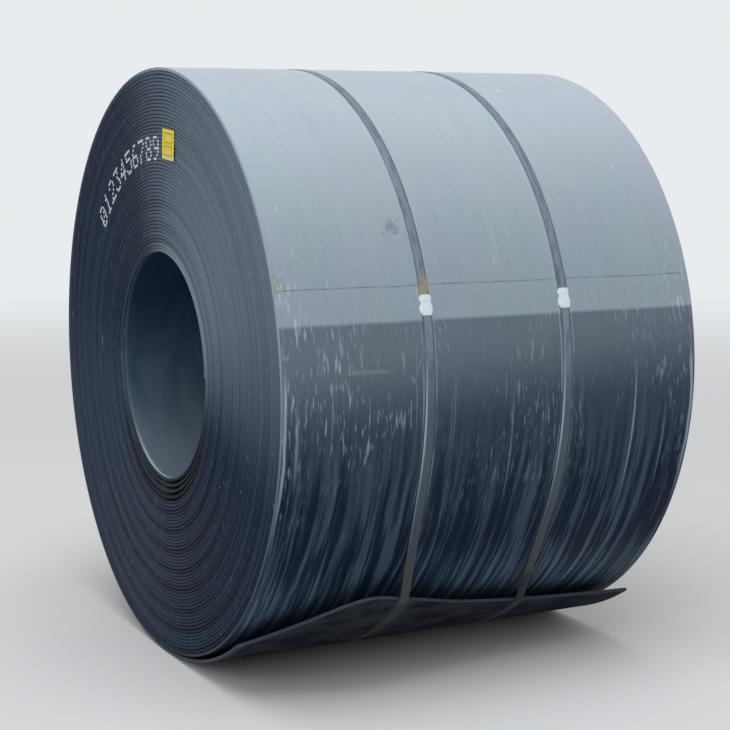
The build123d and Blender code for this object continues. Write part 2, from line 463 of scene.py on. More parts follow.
def strap_line(tip, winding, straps):
    """Place and outward normal on the hull as functions of the run from the seal, counted upwards.

    Also the hull's length, and the runs at both ends of its one straight stretch, across the tail's gap.
    """
    hull = outline(tip, winding)
    closed = np.vstack([hull, hull[:1]])
    sides = np.hypot(*np.diff(closed, axis=0).T)
    run = np.concatenate([[0], np.cumsum(sides)])
    height = np.arctan2(closed[:-1, 1] - AXIS_Z, -closed[:-1, 0])
    seal_run = run[np.argmin(np.abs(height - straps.seal_angle))]

    def point(s):
        s = np.mod(seal_run - np.asarray(s), run[-1])
        return np.stack([np.interp(s, run, closed[:, 0]), np.interp(s, run, closed[:, 1])], -1)

    def normal(s):
        ahead = point(np.asarray(s) - 0.02) - point(np.asarray(s) + 0.02)
        ahead /= np.linalg.norm(ahead, axis=-1, keepdims=True)
        return np.stack([ahead[..., 1], -ahead[..., 0]], -1)

    longest = np.argmax(sides)
    return point, normal, run[-1], np.mod(seal_run - run[longest : longest + 2], run[-1])


def strap_mesh(x, line, straps):
    """Band that starts under the seal, runs once round and ends above it, with places across its width."""
    point, normal, whole, bends = line
    half, bevel = straps.width / 2, 0.2 * straps.thickness
    lap_from, lap_to = whole - straps.tuck, whole + straps.overlap
    run = np.linspace(-straps.tuck, lap_to, round((whole + straps.tuck + straps.overlap) / STRAP_STEP))
    run = np.union1d(run, bends)
    # The end climbs on to the covered start, 60 mm to 10 mm before it, and its last 50 mm spring off a little
    climb, sprung = straps.thickness + LAYER_GAP, 1.6 * MM
    lift = straps.seat + climb * ease(run, lap_from - 0.06, lap_from - 0.01)
    lift += sprung * ease(run, lap_to - 0.05, lap_to)
    swings = 2 if x < 0 else 3
    wander = STRAP_WANDER * np.sin(2 * math.pi * run / whole * swings)
    ring = [
        (-half, bevel),
        (-half, straps.thickness - bevel),
        (-half + 2 * bevel, straps.thickness),
        (half - 2 * bevel, straps.thickness),
        (half, straps.thickness - bevel),
        (half, bevel),
        (half - 2 * bevel, 0),
        (-half + 2 * bevel, 0),
    ]
    places, normals = point(run), normal(run)
    vertices, across = [], []
    for i in range(len(run)):
        for aside, up in ring:
            y, z = places[i] + normals[i] * (lift[i] + up)
            vertices.append((x + wander[i] + aside, y, z))
            across.append(aside / half)
    return vertices, tube_faces(len(run), len(ring)), across


def tube_faces(rings, count, base=0):
    """Faces of a closed tube: rings of a count of vertices each, from a base on, with a cap at both ends."""
    faces = []
    for i in range(base, base + (rings - 1) * count, count):
        for j in range(count):
            k = (j + 1) % count
            faces.append((i + j, i + k, i + count + k, i + count + j))
    for i in (base, base + (rings - 1) * count):
        faces.append(tuple(range(i, i + count)))
    return faces


def plate_mesh(top, bottom):
    """Closed plate between two equal grids of points, given as arrays of rows by columns by 3."""
    rows, columns = top.shape[:2]
    size = rows * columns
    vertices = np.vstack([top.reshape(-1, 3), bottom.reshape(-1, 3)])
    faces = []
    for i in range(rows - 1):
        for j in range(columns - 1):
            a = i * columns + j
            quad = (a, a + 1, a + columns + 1, a + columns)
            faces.append(quad)
            faces.append(tuple(size + q for q in reversed(quad)))
    rim = list(range(columns))
    rim += [i * columns + columns - 1 for i in range(1, rows)]
    rim += [(rows - 1) * columns + j for j in range(columns - 2, -1, -1)]
    rim += [i * columns for i in range(rows - 2, 0, -1)]
    for a, b in zip(rim, rim[1:] + rim[:1]):
        faces.append((b, a, size + a, size + b))
    return vertices, faces


def seal_mesh(x, line, straps):
    """Channel of sheet pressed over two layers of strap and nipped in above its middle into two lobes."""
    point, normal = line[:2]
    low, high = SEAL_BOX
    half_width = (high.x - low.x) / 2
    half_length = math.hypot(high.y - low.y, high.z - low.z) / 2
    u = np.linspace(-half_length, half_length, 49)
    v = np.linspace(-1, 1, 25)
    crown = 2 * straps.thickness + 2 * straps.seat + LAYER_GAP
    strap_blotch_and_edge_shade, bulge = straps.width / 2 + 0.5 * MM, 1.6 * MM

    def rounded(centre, reach, power):
        """Round hump of height 1 along the seal, centre and reach as shares of its half length."""
        return np.clip(1 - np.abs((u / half_length - centre) / reach) ** power, 0, 1) ** (1 / power)

    lower, upper = rounded(-0.36, 0.68, 2.4), 0.94 * rounded(0.62, 0.42, 2.4)
    lobed = np.maximum(np.maximum(lower, upper), 0.82 * rounded(0, 1.04, 6))
    swell = np.maximum(rounded(-0.36, 0.60, 2), rounded(0.60, 0.36, 2))
    top = np.zeros((len(u), len(v), 3))
    bottom = np.zeros_like(top)
    for i, s in enumerate(u):
        place, out = point(s), normal(s)
        side = half_width * lobed[i]
        for j, w in enumerate(v):
            slope = ease(side * abs(w), strap_blotch_and_edge_shade, half_width)
            under = crown * (1 - slope) + straps.seat * slope
            under += bulge * swell[i] * math.cos(0.5 * math.pi * w)
            for grid, height in ((bottom, under), (top, under + straps.seal_plate)):
                y, z = place + out * height
                grid[i, j] = (x + side * w, y, z)
    return plate_mesh(top, bottom)


def label_point(a, b):
    """Place (y, z) on the label's sheet, a towards the front and b up before the label's tilt."""
    centre = (LABEL_LOW + LABEL_HIGH) / 2
    c, s = math.cos(LABEL_TILT), math.sin(LABEL_TILT)
    return centre.y - a * c - b * s, centre.z - a * s + b * c


def label_mesh():
    """Sheet of paper on the left end, with a faint wave where it bridges the turns."""
    inset, paper, slow, quick = 0.35 * MM, 0.25 * MM, 0.12 * MM, 0.10 * MM
    grid = np.linspace(-0.5, 0.5, 22)
    top = np.zeros((len(grid), len(grid), 3))
    for i, a in enumerate(grid):
        for j, b in enumerate(grid):
            y, z = label_point(a * LABEL_WIDTH, b * LABEL_HEIGHT)
            wave = slow * math.sin(40 * a + 9 * b) + quick * math.sin(31 * b)
            top[i, j] = (LABEL_LOW.x + inset + wave, y, z)
    bottom = top + np.array([paper, 0, 0])
    return plate_mesh(top, bottom)


# Finishes

EASED = {"interpolation_type": "SMOOTHSTEP"}
COLOURED = {"data_type": "RGBA"}
PLUS, TIMES, MOST, LESS = ({"operation": o} for o in ("ADD", "MULTIPLY", "MAXIMUM", "LESS_THAN"))
DEG = math.radians(1)


def add(tree, kind, *inputs, **settings):
    """New shader node whose sockets in use take the inputs in order; gives its first output."""
    node = tree.nodes.new("ShaderNode" + kind)
    for key, value in settings.items():
        setattr(node, key, value)
    sockets = [socket for socket in node.inputs if socket.enabled]
    if len(inputs) > len(sockets):
        raise ValueError(f"{kind} takes {len(sockets)} inputs, not {len(inputs)}")
    for socket, value in zip(sockets, inputs):
        if isinstance(value, bpy.types.NodeSocket):
            tree.links.new(value, socket)
        elif value is not None:
            socket.default_value = value
    return next(socket for socket in node.outputs if socket.enabled)


def new_finish(name, roughness, specular=0.5, metallic=0.0):
    """Material with its node tree; the numbers are set right on its shader."""
    material = bpy.data.materials.new(name)
    material.use_nodes = True
    shader = material.node_tree.nodes["Principled BSDF"]
    shader.inputs["Roughness"].default_value = roughness
    shader.inputs["Specular IOR Level"].default_value = specular
    shader.inputs["Metallic"].default_value = metallic
    return material, material.node_tree


def dress(material, body, relief=None, rough=None):
    """The material with a colour, and a relief and a roughness where given, linked to its shader."""
    shader = material.node_tree.nodes["Principled BSDF"]
    for name, socket in (("Base Color", body), ("Normal", relief), ("Roughness", rough)):
        if socket is not None:
            material.node_tree.links.new(socket, shader.inputs[name])
    return material


def coil_places(tree):
    """Places on the coil: x, y, height in degrees, place on the strip, and spoke from the axis."""
    xyz = add(tree, "SeparateXYZ", add(tree, "TexCoord").node.outputs["Object"]).node.outputs
    up = add(tree, "Math", xyz["Z"], AXIS_Z, operation="SUBTRACT")
    out = add(tree, "Math", xyz["Y"], operation="ABSOLUTE")
    height = add(tree, "Math", add(tree, "Math", up, out, operation="ARCTAN2"), operation="DEGREES")
    around = add(tree, "Math", xyz["Y"], up, operation="ARCTAN2")
    # The coil's radius is close to a metre, so an angle round it also counts as metres along the strip
    strip_place = add(tree, "CombineXYZ", xyz["X"], around, 0.0)
    spoke = add(tree, "CombineXYZ", 0.0, xyz["Y"], up)
    return xyz["X"], xyz["Y"], height, strip_place, spoke


def grain(tree, strip_place, across_mm, along_mm, detail=2.0, shift=0.0):
    """Noise drawn out along the strip, its period across and along in mm; its blobs are half as large."""
    scale = (1000 / across_mm, 1000 / along_mm, 1.0)
    stretched = add(tree, "Mapping", strip_place, (0.0, 0.0, shift), None, scale)
    return add(tree, "TexNoise", stretched, 1.0, detail, 0.55)


def apart(tree, value, middle=0.0):
    """How far a value stands from a middle, either way."""
    return add(tree, "Math", add(tree, "Math", value, -middle, **PLUS), operation="ABSOLUTE")


def all_of(tree, *masks):
    """Masks multiplied with each other.

    A mask is a socket, or a value with the range over which it sets in and the strengths at both ends.
    """
    linked = bpy.types.NodeSocket
    masks = [mask if isinstance(mask, linked) else add(tree, "MapRange", *mask, **EASED) for mask in masks]
    product = masks[0]
    for mask in masks[1:]:
        product = add(tree, "Math", product, mask, **TIMES)
    return product


def lay(tree, body, shade, *masks):
    """Colour of the body under a shade, laid over it as far as all the masks let it through."""
    linked = bpy.types.NodeSocket
    body, shade = (paint if isinstance(paint, linked) else rgba(paint) for paint in (body, shade))
    return add(tree, "Mix", all_of(tree, *masks), body, shade, **COLOURED)


def rolled_scale(finish):
    """Mill scale on hot-rolled strip, oiled and rained on.

    The eye gets a pale rain film above a straight tide line, paler towards the crown as painted sky sheen, a
    blue-grey flank with painted light at its top and painted shade that darkens it towards the floor, short
    run-off dashes under the line, and long streaks that follow the strip round the coil.
    """
    material, tree = new_finish("Hot-rolled mill scale, rained on", 0.42, specular=0.08)
    side, back, height, place, _ = coil_places(tree)
    front = add(tree, "Math", back, 0.0, **LESS)
    off_middle = apart(tree, side)

    # Colour by height, partly rain film and partly painted light: crown and film paler upwards as painted sky
    # sheen, the flank with painted light at its top, mid flank, and painted shade deepening towards the floor
    waver = add(tree, "MapRange", grain(tree, place, 260, 900, shift=3.0), 0.0, 1.0, -0.3, 0.3)
    level = add(tree, "Math", height, waver, **PLUS)
    film = lay(tree, finish.lower_film_and_sheen, finish.crown_film_and_sheen, (height, 14, 66))
    lower = lay(tree, finish.deep_scale_shade, finish.scale_mid, (level, -32, -5))
    # The painted light at the top of the flank ends a little higher towards the right
    leaned = add(tree, "Math", side, -3, level, operation="MULTIPLY_ADD")
    lower = lay(tree, lower, finish.lit_flank_scale, (leaned, -6.5, 10.5))

    # Painted light: the scale and its streaks lightened where the tail shades the flank
    turn = add(tree, "Attribute", attribute_name="turn").node.outputs["Fac"]
    on_coil = add(tree, "Math", turn, 0.5, operation="GREATER_THAN")
    sheltered = all_of(tree, (level, -30, -47), on_coil)
    lower = lay(tree, lower, finish.scale_lifted_in_tail_shade, sheltered)
    pale_streak_with_lift = lay(tree, finish.streak_pale, finish.pale_streak_lifted_in_tail_shade, sheltered)
    dark_streak_with_lift = lay(tree, finish.streak_dark, finish.dark_streak_lifted_in_tail_shade, sheltered)

    # Long streaks that grow stronger down the flank, 13 mm, 7 mm and 60 mm wide; run-off wanders on its way
    wander = add(tree, "MapRange", grain(tree, place, 180, 500, 1.0, 90.0), 0.3, 0.7, -0.007, 0.007)
    path = add(tree, "VectorMath", place, add(tree, "CombineXYZ", wander, 0.0, 0.0), **PLUS)
    below = add(tree, "MapRange", level, 2, -24, **EASED)
    medium, fine = grain(tree, path, 26, 800, 4.0, 1.0), grain(tree, path, 14, 420, 4.0, 8.0)
    wide = grain(tree, place, 120, 2200, 2.0, 5.0)
    for streaks, since, full, strength, streak_tone in (
        (medium, 0.51, 0.58, 0.85, pale_streak_with_lift),
        (medium, 0.49, 0.43, 0.85, dark_streak_with_lift),
        (fine, 0.53, 0.62, 0.7, pale_streak_with_lift),
        (fine, 0.47, 0.36, 0.7, dark_streak_with_lift),
        (wide, 0.48, 0.62, 0.5, dark_streak_with_lift),
    ):
        lower = lay(tree, lower, streak_tone, (streaks, since, full, 0, strength), below)

    # A few thin lines of run-off, 7 mm by 500 mm, that start at mid height
    thread = grain(tree, place, 14, 1000, 1.0, 60.0)
    lower = lay(tree, lower, finish.run_off, (thread, 0.66, 0.78, 0, 0.5), (level, -34, -14), (level, 6, -3))

    # Run-off dashes, about 6 mm by 50 mm, crowded at the strip's edges and in loose clusters, with finer
    # ones of 4 mm by 25 mm between them, fainter towards the right; a few stand in the film too
    strokes = grain(tree, path, 12, 100, 1.0, 9.0)
    dash = add(tree, "MapRange", strokes, 0.61, 0.70, **EASED)
    spray = add(tree, "MapRange", grain(tree, path, 8, 50, 1.0, 23.0), 0.58, 0.70, 0.0, 0.5, **EASED)
    dash = add(tree, "Math", dash, spray, **MOST)
    crowd = grain(tree, place, 260, 520, 2.0, 14.0)
    crowd = add(tree, "MapRange", crowd, 0.46, 0.58, 0.12, 0.9, **EASED)
    near_edge = add(tree, "MapRange", off_middle, 0.60, 0.71, **EASED)
    left = all_of(tree, (side, -0.42, -0.54, 0, 0.9), add(tree, "MapRange", level, -9, -1))
    for cluster in (near_edge, left):
        crowd = add(tree, "Math", crowd, cluster, **MOST)
    lower = lay(tree, lower, finish.run_off, dash, crowd, (side, -0.3, 0, 1, 0.55), (level, -34, 2, 0, 0.8))
    rained = all_of(tree, dash, near_edge, (level, 34, 15, 0, 0.45))
    stray = add(tree, "MapRange", strokes, 0.74, 0.80, 0.0, 0.5, **EASED)
    film = lay(tree, film, finish.rubbed_and_highlight, add(tree, "Math", stray, rained, **MOST))

    # Painted shade on the tail's underside, matt, in darker and paler patches
    tail_shaded = all_of(tree, (turn, 0.03, 0, 0, 0.92), add(tree, "MapRange", level, -25, -30))
    mottled_tail_shade = lay(tree, finish.tail_shade, finish.tail_shade_pale, (grain(tree, place, 150, 90, 6.0, 70.0), 0.36, 0.62))
    lower = lay(tree, lower, mottled_tail_shade, tail_shaded)

    tide = add(tree, "MapRange", level, 12.4, 13.3, **EASED)
    body = lay(tree, lower, film, tide)

    # Two thin level lines on the front: a dark one in the film and a short pale one under the tide line
    dotted = add(tree, "MapRange", grain(tree, place, 60, 400, 2.0, 31.0), 0.35, 0.6, 0.15, 0.5)
    body = lay(tree, body, finish.scale_mid, (apart(tree, level, 19.1), 0.20, 0.05), dotted, front)
    line, span = (apart(tree, level, 4.5), 0.6, 0.1, 0, 0.5), (apart(tree, side, -0.46), 0.09, 0.05)
    body = lay(tree, body, finish.run_off, line, span, dotted, front)

    # Beside each strap a damp band on its right, and pale water lines 24 mm left and 21 mm right of its
    # middle
    strap_x = STRAP_X["strap_right"]
    offset = add(tree, "Math", add(tree, "Math", side, strap_x, **PLUS), strap_x, -strap_x, operation="WRAP")
    inside = add(tree, "Math", off_middle, 2 * strap_x, **LESS)
    body = lay(tree, body, finish.damp, (apart(tree, offset, 0.022), 0.016, 0.008, 0, 0.55), inside, below)
    water = lay(tree, finish.run_off, finish.rubbed_and_highlight, tide)
    seen = add(tree, "MapRange", level, -28, -8, 0.1, 1.0, **EASED)
    thinned = add(tree, "MapRange", tide, 0.0, 1.0, 1.0, 0.3)
    for beside, strength in ((-0.024, 0.55), (0.021, 0.4)):
        line = (apart(tree, offset, beside), 0.0035, 0.001, 0, strength)
        wet = (grain(tree, place, 60, 220, 2.0, 40 + beside), 0.4, 0.55, 0.2, 1)
        body = lay(tree, body, water, line, wet, inside, seen, thinned)

    # Pale line of run-off 13 mm in from the strip's edge under the tide line, and the corner rubbed a little
    waver = add(tree, "MapRange", grain(tree, place, 900, 260, 2.0, 77.0), 0.3, 0.7, -0.004, 0.004)
    inset = apart(tree, add(tree, "Math", off_middle, waver, **PLUS), 0.7365)
    until, since = (level, -28, -10, 0.15, 1), (level, 8, 0, 0.06, 1)
    body = lay(tree, body, finish.run_off, (inset, 0.007, 0.002, 0, 0.75), until, since)
    body = lay(tree, body, finish.rubbed_and_highlight, (off_middle, 0.7450, 0.7475, 0, 0.3))

    # Small marks of handling: side place, height angle, size, shade and strength
    here = add(tree, "CombineXYZ", side, add(tree, "Math", height, DEG, **TIMES), 0.0)
    for x, angle, size, shade, strength in (
        (-0.317, 30, 0.036, finish.lit_flank_scale, 0.5),
        (0.143, 72, 0.016, finish.rubbed_and_highlight, 0.5),
        (0.362, 68, 0.018, finish.rubbed_and_highlight, 0.5),
        (-0.740, 20, 0.036, finish.rust, 0.65),
    ):
        away = add(tree, "VectorMath", here, (x, angle * DEG, 0.0), operation="DISTANCE")
        rough, reach = grain(tree, place, 22, 22, 3.0, angle), 0.8 * size
        rough = add(tree, "MapRange", rough, 0.3, 0.7, -reach, reach)
        spot = add(tree, "Math", away, rough, **PLUS)
        body = lay(tree, body, shade, (spot, size, 0, 0, strength), front)

    # Fine rolling scratches 1 mm across, coarser than real ones so that they show, and cloudy tints
    scratches = grain(tree, place, 2.0, 420, 4.0, 21.0)
    cloud = add(tree, "TexNoise", None, 6.0, 6.0).node.outputs["Color"]
    body = add(tree, "Mix", 0.07, body, cloud, blend_type="OVERLAY", **COLOURED)
    for pattern, least, most in ((scratches, 0.94, 1.06), (fine, 0.96, 1.04)):
        tone = add(tree, "MapRange", pattern, 0.3, 0.7, least, most)
        body = add(tree, "VectorMath", body, tone, operation="SCALE")
    wet = add(tree, "MapRange", tide, 0.0, 1.0, 0.46, 0.36)
    gloss = add(tree, "MapRange", scratches, 0.3, 0.7, -0.05, 0.05)
    rough = add(tree, "Mix", tail_shaded, add(tree, "Math", wet, gloss, **PLUS), 0.95)
    # Long swells of the rolled surface, 75 mm by 300 mm, and the scratches
    swells = add(tree, "Bump", 0.6, 0.0008, None, grain(tree, place, 150, 600, 1.0, 50.0))
    return dress(material, body, add(tree, "Bump", 0.25, 0.0002, None, scratches, swells), rough)


def mill_edge(finish):
    """Rolled, unsheared edge of the strip with its scale on.

    The eye gets thin rings of slightly different grey, a painted sheen that pales them towards the upper
    front and a little towards the lower back, painted shade where a gap opens beside the turn, the outermost
    corner worn bright on the front, and a painted highlight on the innermost corners.
    """
    material, tree = new_finish("Mill edge of hot-rolled strip", 0.5, specular=0.08)
    _, back, height, _, spoke = coil_places(tree)
    marks = (add(tree, "Attribute", attribute_name=name) for name in ("turn", "gap_shade"))
    turn, shade = (mark.node.outputs["Fac"] for mark in marks)

    radius = add(tree, "VectorMath", spoke, operation="LENGTH")
    # Painted sheen: the edges paler where they face the upper front, and a little paler where they face the
    # lower back
    ahead = (0.0, -math.sqrt(0.5), math.sqrt(0.5))
    ahead = add(tree, "VectorMath", spoke, ahead, operation="DOT_PRODUCT")
    facing = add(tree, "Math", ahead, radius, operation="DIVIDE")
    painted_sheen = add(tree, "MapRange", facing, 0.35, 1.0, **EASED)
    under = add(tree, "MapRange", facing, -0.35, -1.0, 0.0, 0.16, **EASED)
    painted_sheen = add(tree, "Math", painted_sheen, under, **MOST)
    body = lay(tree, finish.edge_dark, finish.pale_scale_and_sheen, painted_sheen)

    # Ring tones: turn by turn, in bands of about six turns, painted shade beside an open gap, and a ring of
    # painted shade where the three innermost turns stand apart from the rest
    turns = bpy.context.scene.steel_coil_winding.turns
    ring = add(tree, "TexNoise", turn, 2.3, 2.0, 0.6, noise_dimensions="1D")
    band = add(tree, "TexNoise", turn, 0.33, 1.0, 0.5, noise_dimensions="1D")
    for tone in (
        add(tree, "MapRange", ring, 0.3, 0.7, 0.90, 1.10),
        add(tree, "MapRange", band, 0.3, 0.7, 0.88, 1.12),
        add(tree, "MapRange", shade, 0.15, 1.0, 1.0, 0.35, **EASED),
        add(tree, "MapRange", apart(tree, turn, turns - 3.7), 0.9, 0.2, 1.0, 0.55, **EASED),
    ):
        body = add(tree, "VectorMath", body, tone, operation="SCALE")

    # Scuffs about 5 mm by 35 mm down the end, and grit specks of 4 mm
    scuffs = add(tree, "TexCoord").node.outputs["Object"]
    scuffs = add(tree, "Mapping", scuffs, None, None, (1.0, 1000 / 9, 1000 / 70))
    scuffs = add(tree, "TexNoise", scuffs, 1.0, 1.0)
    specks = add(tree, "TexNoise", None, 120.0, 4.0, 0.7)
    for spots in ((scuffs, 0.72, 0.80, 0, 0.3), (specks, 0.60, 0.74, 0, 0.28)):
        body = lay(tree, body, finish.run_off, spots)

    # The outermost turn's corner rubbed bright on the front, and a painted highlight on the innermost turns'
    # corners where the painted sheen falls
    outer = all_of(tree, (turn, 1.05, 0.9, 0, 0.3), (height, -50, 30, 0.15, 1), (back, 0, 0.3, 1, 0.25))
    inner = all_of(tree, (turn, turns - 3.2, turns - 2.8, 0, 0.14), painted_sheen)
    body = lay(tree, body, finish.rubbed_and_highlight, add(tree, "Math", outer, inner, **MOST))
    return dress(material, body, add(tree, "Bump", 0.4, 0.0006, None, specks))


def bore_scale(finish):
    """Dry mill scale on the inner wall of the coil: smooth, satin, with faint runs along the strip, painted
    light low and painted shade high.
    """
    material, tree = new_finish("Dry mill scale in the bore", 0.4, specular=0.15)
    side, _, height, place, _ = coil_places(tree)
    runs = add(tree, "MapRange", grain(tree, place, 60, 500, 3.0), 0.35, 0.7, 0.0, 0.35, **EASED)
    body = lay(tree, finish.bore, finish.pale_scale_and_sheen, runs)
    # Painted light on the lower bore, and painted shade on the upper bore
    body = lay(tree, body, finish.lower_film_and_sheen, (height, 0, -75, 0, 0.38))
    body = lay(tree, body, finish.bore_upper_shade, (height, -15, 40, 0, 0.8))
    # The rim worn bright, and painted brighter towards the bottom where light falls in
    body = lay(tree, body, finish.rubbed_and_highlight, (apart(tree, side), 0.722, 0.736), (height, -35, -70, 0.08, 0.8))
    return dress(material, body, add(tree, "Bump", 0.2, 0.0004, None, runs))


def blued_strapping(finish):
    """Blued and waxed strapping steel.

    The eye gets a satin grey band with blotches and painted shade along its edges, a bright left edge on the
    flank, rust above the seal, painted shade that darkens it down the flank and where it crosses the tail,
    and a coat of grime down by the floor.
    """
    material, tree = new_finish("Blued strapping steel", 0.4, specular=0.35, metallic=0.2)
    side, back, height, place, _ = coil_places(tree)
    across = add(tree, "Attribute", attribute_name="across").node.outputs["Fac"]
    low = add(tree, "MapRange", height, 12, -6, **EASED)
    # Painted shade: the strap darker down the flank
    body = lay(tree, finish.strap, finish.strap_flank_shade, low)
    blotch = grain(tree, place, 14, 70, 3.0, 4.0)
    blotch = add(tree, "MapRange", blotch, 0.46, 0.64, 0.0, 0.6, **EASED)
    # Blotches, and painted shade along both edges
    for mask in (blotch, (apart(tree, across), 0.6, 0.9, 0, 0.7)):
        body = lay(tree, body, finish.strap_blotch_and_edge_shade, mask)
    fades = add(tree, "MapRange", height, -36, -8)
    body = lay(tree, body, finish.run_off, (across, -0.45, -0.75, 0, 0.9), low, fades)

    # Rust on the strap above the left seal, in patches of 8 mm by 12 mm
    patch = (grain(tree, place, 16, 24, 4.0, 2.0), 0.34, 0.52, 0.2, 0.95)
    left, front = (add(tree, "Math", way, 0.0, **LESS) for way in (side, back))
    body = lay(tree, body, finish.rust, patch, (height, 16.6, 17.2), (height, 21.2, 19.4), left, front)

    # Painted shade deeper down the flank, greener grime lower, and painted shade where it crosses the tail's
    # underside
    body = lay(tree, body, finish.strap_deep_shade, (height, -6, -34, 0, 0.8))
    body = lay(tree, body, finish.grime, (height, -28, -38, 0, 0.6))
    body = lay(tree, body, finish.tail_shade, (height, -39.5, -42, 0, 0.85))
    return dress(material, body, add(tree, "Bump", 0.3, 0.0003, None, blotch))


def zinc_sheet(finish):
    """Zinc-plated sheet of the crimped seals: bright, nearly white, faintly spangled in 6 mm grains."""
    material, tree = new_finish("Zinc-plated seal sheet", 0.4, specular=0.5, metallic=0.1)
    spangle = add(tree, "TexVoronoi", None, 1000 / 6).node.outputs["Color"]
    body = add(tree, "Mix", 0.08, rgba(finish.seal), spangle, blend_type="OVERLAY", **COLOURED)
    grit = add(tree, "TexNoise", None, 250.0, 3.0)
    return dress(material, body, rough=add(tree, "MapRange", grit, 0.3, 0.7, 0.34, 0.5))


def label_paper(finish):
    """Coated yellow label paper with two bare printed frames, a little faded at its foot."""
    material, tree = new_finish("Coated yellow label paper", 0.55, specular=0.3)
    centre = tuple((LABEL_LOW + LABEL_HIGH) / 2)
    sheet = add(tree, "TexCoord").node.outputs["Object"]
    sheet = add(tree, "Mapping", sheet, centre, (LABEL_TILT, 0.0, 0.0), vector_type="TEXTURE")
    sheet = add(tree, "SeparateXYZ", sheet).node.outputs
    body = lay(tree, finish.label, finish.ink, (sheet["Z"], -0.02, -0.05, 0, 0.35))
    # Two frames of one size, each with its middle that far up the sheet
    half_wide, half_tall = 0.034, 0.015
    for middle in (0.021, -0.021):
        wide = add(tree, "Math", apart(tree, sheet["Y"]), -half_wide, **PLUS)
        tall = add(tree, "Math", apart(tree, sheet["Z"], middle), -half_tall, **PLUS)
        away = apart(tree, add(tree, "Math", wide, tall, **MOST))
        body = lay(tree, body, finish.label_frame, (away, 0.0042, 0.0028, 0, 0.65))
    dust = add(tree, "TexNoise", None, 60.0, 4.0)
    body = lay(tree, body, finish.label_frame, (dust, 0.45, 0.75, 0, 0.3))
    return dress(material, body)


def marking_ink(finish):
    """White marking ink sprayed as dots: matt, and worn through to the scale in places."""
    material, tree = new_finish("White marking ink", 0.6, specular=0.3)
    worn = add(tree, "TexNoise", None, 160.0, 3.0)
    return dress(material, lay(tree, finish.ink, finish.pale_scale_and_sheen, (worn, 0.5, 0.75, 0, 0.7)))


# Counting marks from 0 to 9: each row of five dots is one number, read as five bits
DIGITS = (
    (14, 17, 19, 21, 25, 17, 14),
    (4, 12, 4, 4, 4, 4, 14),
    (14, 17, 1, 2, 4, 8, 31),
    (31, 2, 4, 2, 1, 17, 14),
    (2, 6, 10, 18, 31, 2, 2),
    (31, 16, 30, 1, 1, 17, 14),
    (6, 8, 16, 30, 17, 17, 14),
    (31, 1, 2, 4, 8, 8, 8),
    (14, 17, 17, 14, 17, 17, 14),
    (14, 17, 17, 15, 1, 2, 12),
)
ROW_DOTS = 5


def dot_mesh(winding):
    """Flat dots of ink, a row to a turn, that count from 0 to 9 towards the label on the left end."""
    turn, _, radius, _, _ = wound_radii(winding)
    shift, back = side_shift(turn, winding)
    per = STATIONS_PER_TURN
    from_back, to_label, top_ring = math.radians(38), math.radians(92), 0.776
    spacing, dot, sides = 11.0 * MM, 5.3 * MM, 10
    sunk, proud = 0.6 * MM, 0.4 * MM
    vertices, faces = [], []
    for n, rows in enumerate(DIGITS):
        middle = from_back + (to_label - from_back) * (n + 0.5) / len(DIGITS)
        start = round((middle + math.pi / 2) / (2 * math.pi) * per)
        top = start + per * int(np.argmin(np.abs(radius[start::per] - top_ring)))
        for row, bits in enumerate(rows):
            for column in range(ROW_DOTS):
                if not bits >> (ROW_DOTS - 1 - column) & 1:
                    continue
                station = top + row * per
                a = middle + (column - ROW_DOTS // 2) * spacing / radius[station]
                station += round((a - middle) / (2 * math.pi) * per)
                r = radius[station] - winding.strip / 2
                x = -HALF_WIDTH + back[station] + shift[station]
                faces += tube_faces(2, sides, len(vertices))
                for depth in (x + sunk, x - proud):
                    for k in range(sides):
                        spin = 2 * math.pi * k / sides
                        dy, dz = dot * math.cos(spin), dot * math.sin(spin)
                        vertices.append((depth, r * math.cos(a) + dy, AXIS_Z + r * math.sin(a) + dz))
    return vertices, faces


# Operators, one for each group of pieces


class OBJECT_OT_steel_coil_strip(bpy.types.Operator):
    """Build the wound strip with its turns, bore and sprung tail"""

    bl_idname = "object.steel_coil_strip"
    bl_label = "Wound strip"

    def execute(self, context):
        winding, finish = context.scene.steel_coil_winding, context.scene.steel_coil_finish
        loops, turns, shades = strip_loops(winding)
        vertices, faces, slots = join_loops(loops, len(loops) - STATIONS_PER_TURN - 2)
        finishes = [rolled_scale(finish), mill_edge(finish), bore_scale(finish)]
        counts = [len(loop) for loop in loops]
        by_vertex = {"turn": np.repeat(turns, counts), "gap_shade": np.repeat(shades, counts)}
        piece = make_piece("wound_strip", vertices, faces, finishes, slots, **by_vertex)
        hand_in(piece, "hot_rolled_steel", "coil")
        return {"FINISHED"}


class OBJECT_OT_steel_coil_straps(bpy.types.Operator):
    """Build both straps with their crimped seals"""

    bl_idname = "object.steel_coil_straps"
    bl_label = "Straps and seals"

    def execute(self, context):
        scene = context.scene
        winding, straps, finish = scene.steel_coil_winding, scene.steel_coil_straps, scene.steel_coil_finish
        strapping, sheet = blued_strapping(finish), zinc_sheet(finish)
        for node, x in STRAP_X.items():
            bearing = x - straps.width / 2 - STRAP_WANDER
            line = strap_line(float(tail_length(bearing, winding)), winding, straps)
            vertices, faces, across = strap_mesh(x, line, straps)
            band = make_piece(f"{node}_band", vertices, faces, [strapping], sharp=40, across=across)
            hand_in(band, "strap_steel", node)
            seal_node = node.replace("strap", "seal")
            seal = make_piece(f"{seal_node}_channel", *seal_mesh(x, line, straps), [sheet], sharp=60)
            hand_in(seal, "seal_steel", seal_node)
        return {"FINISHED"}


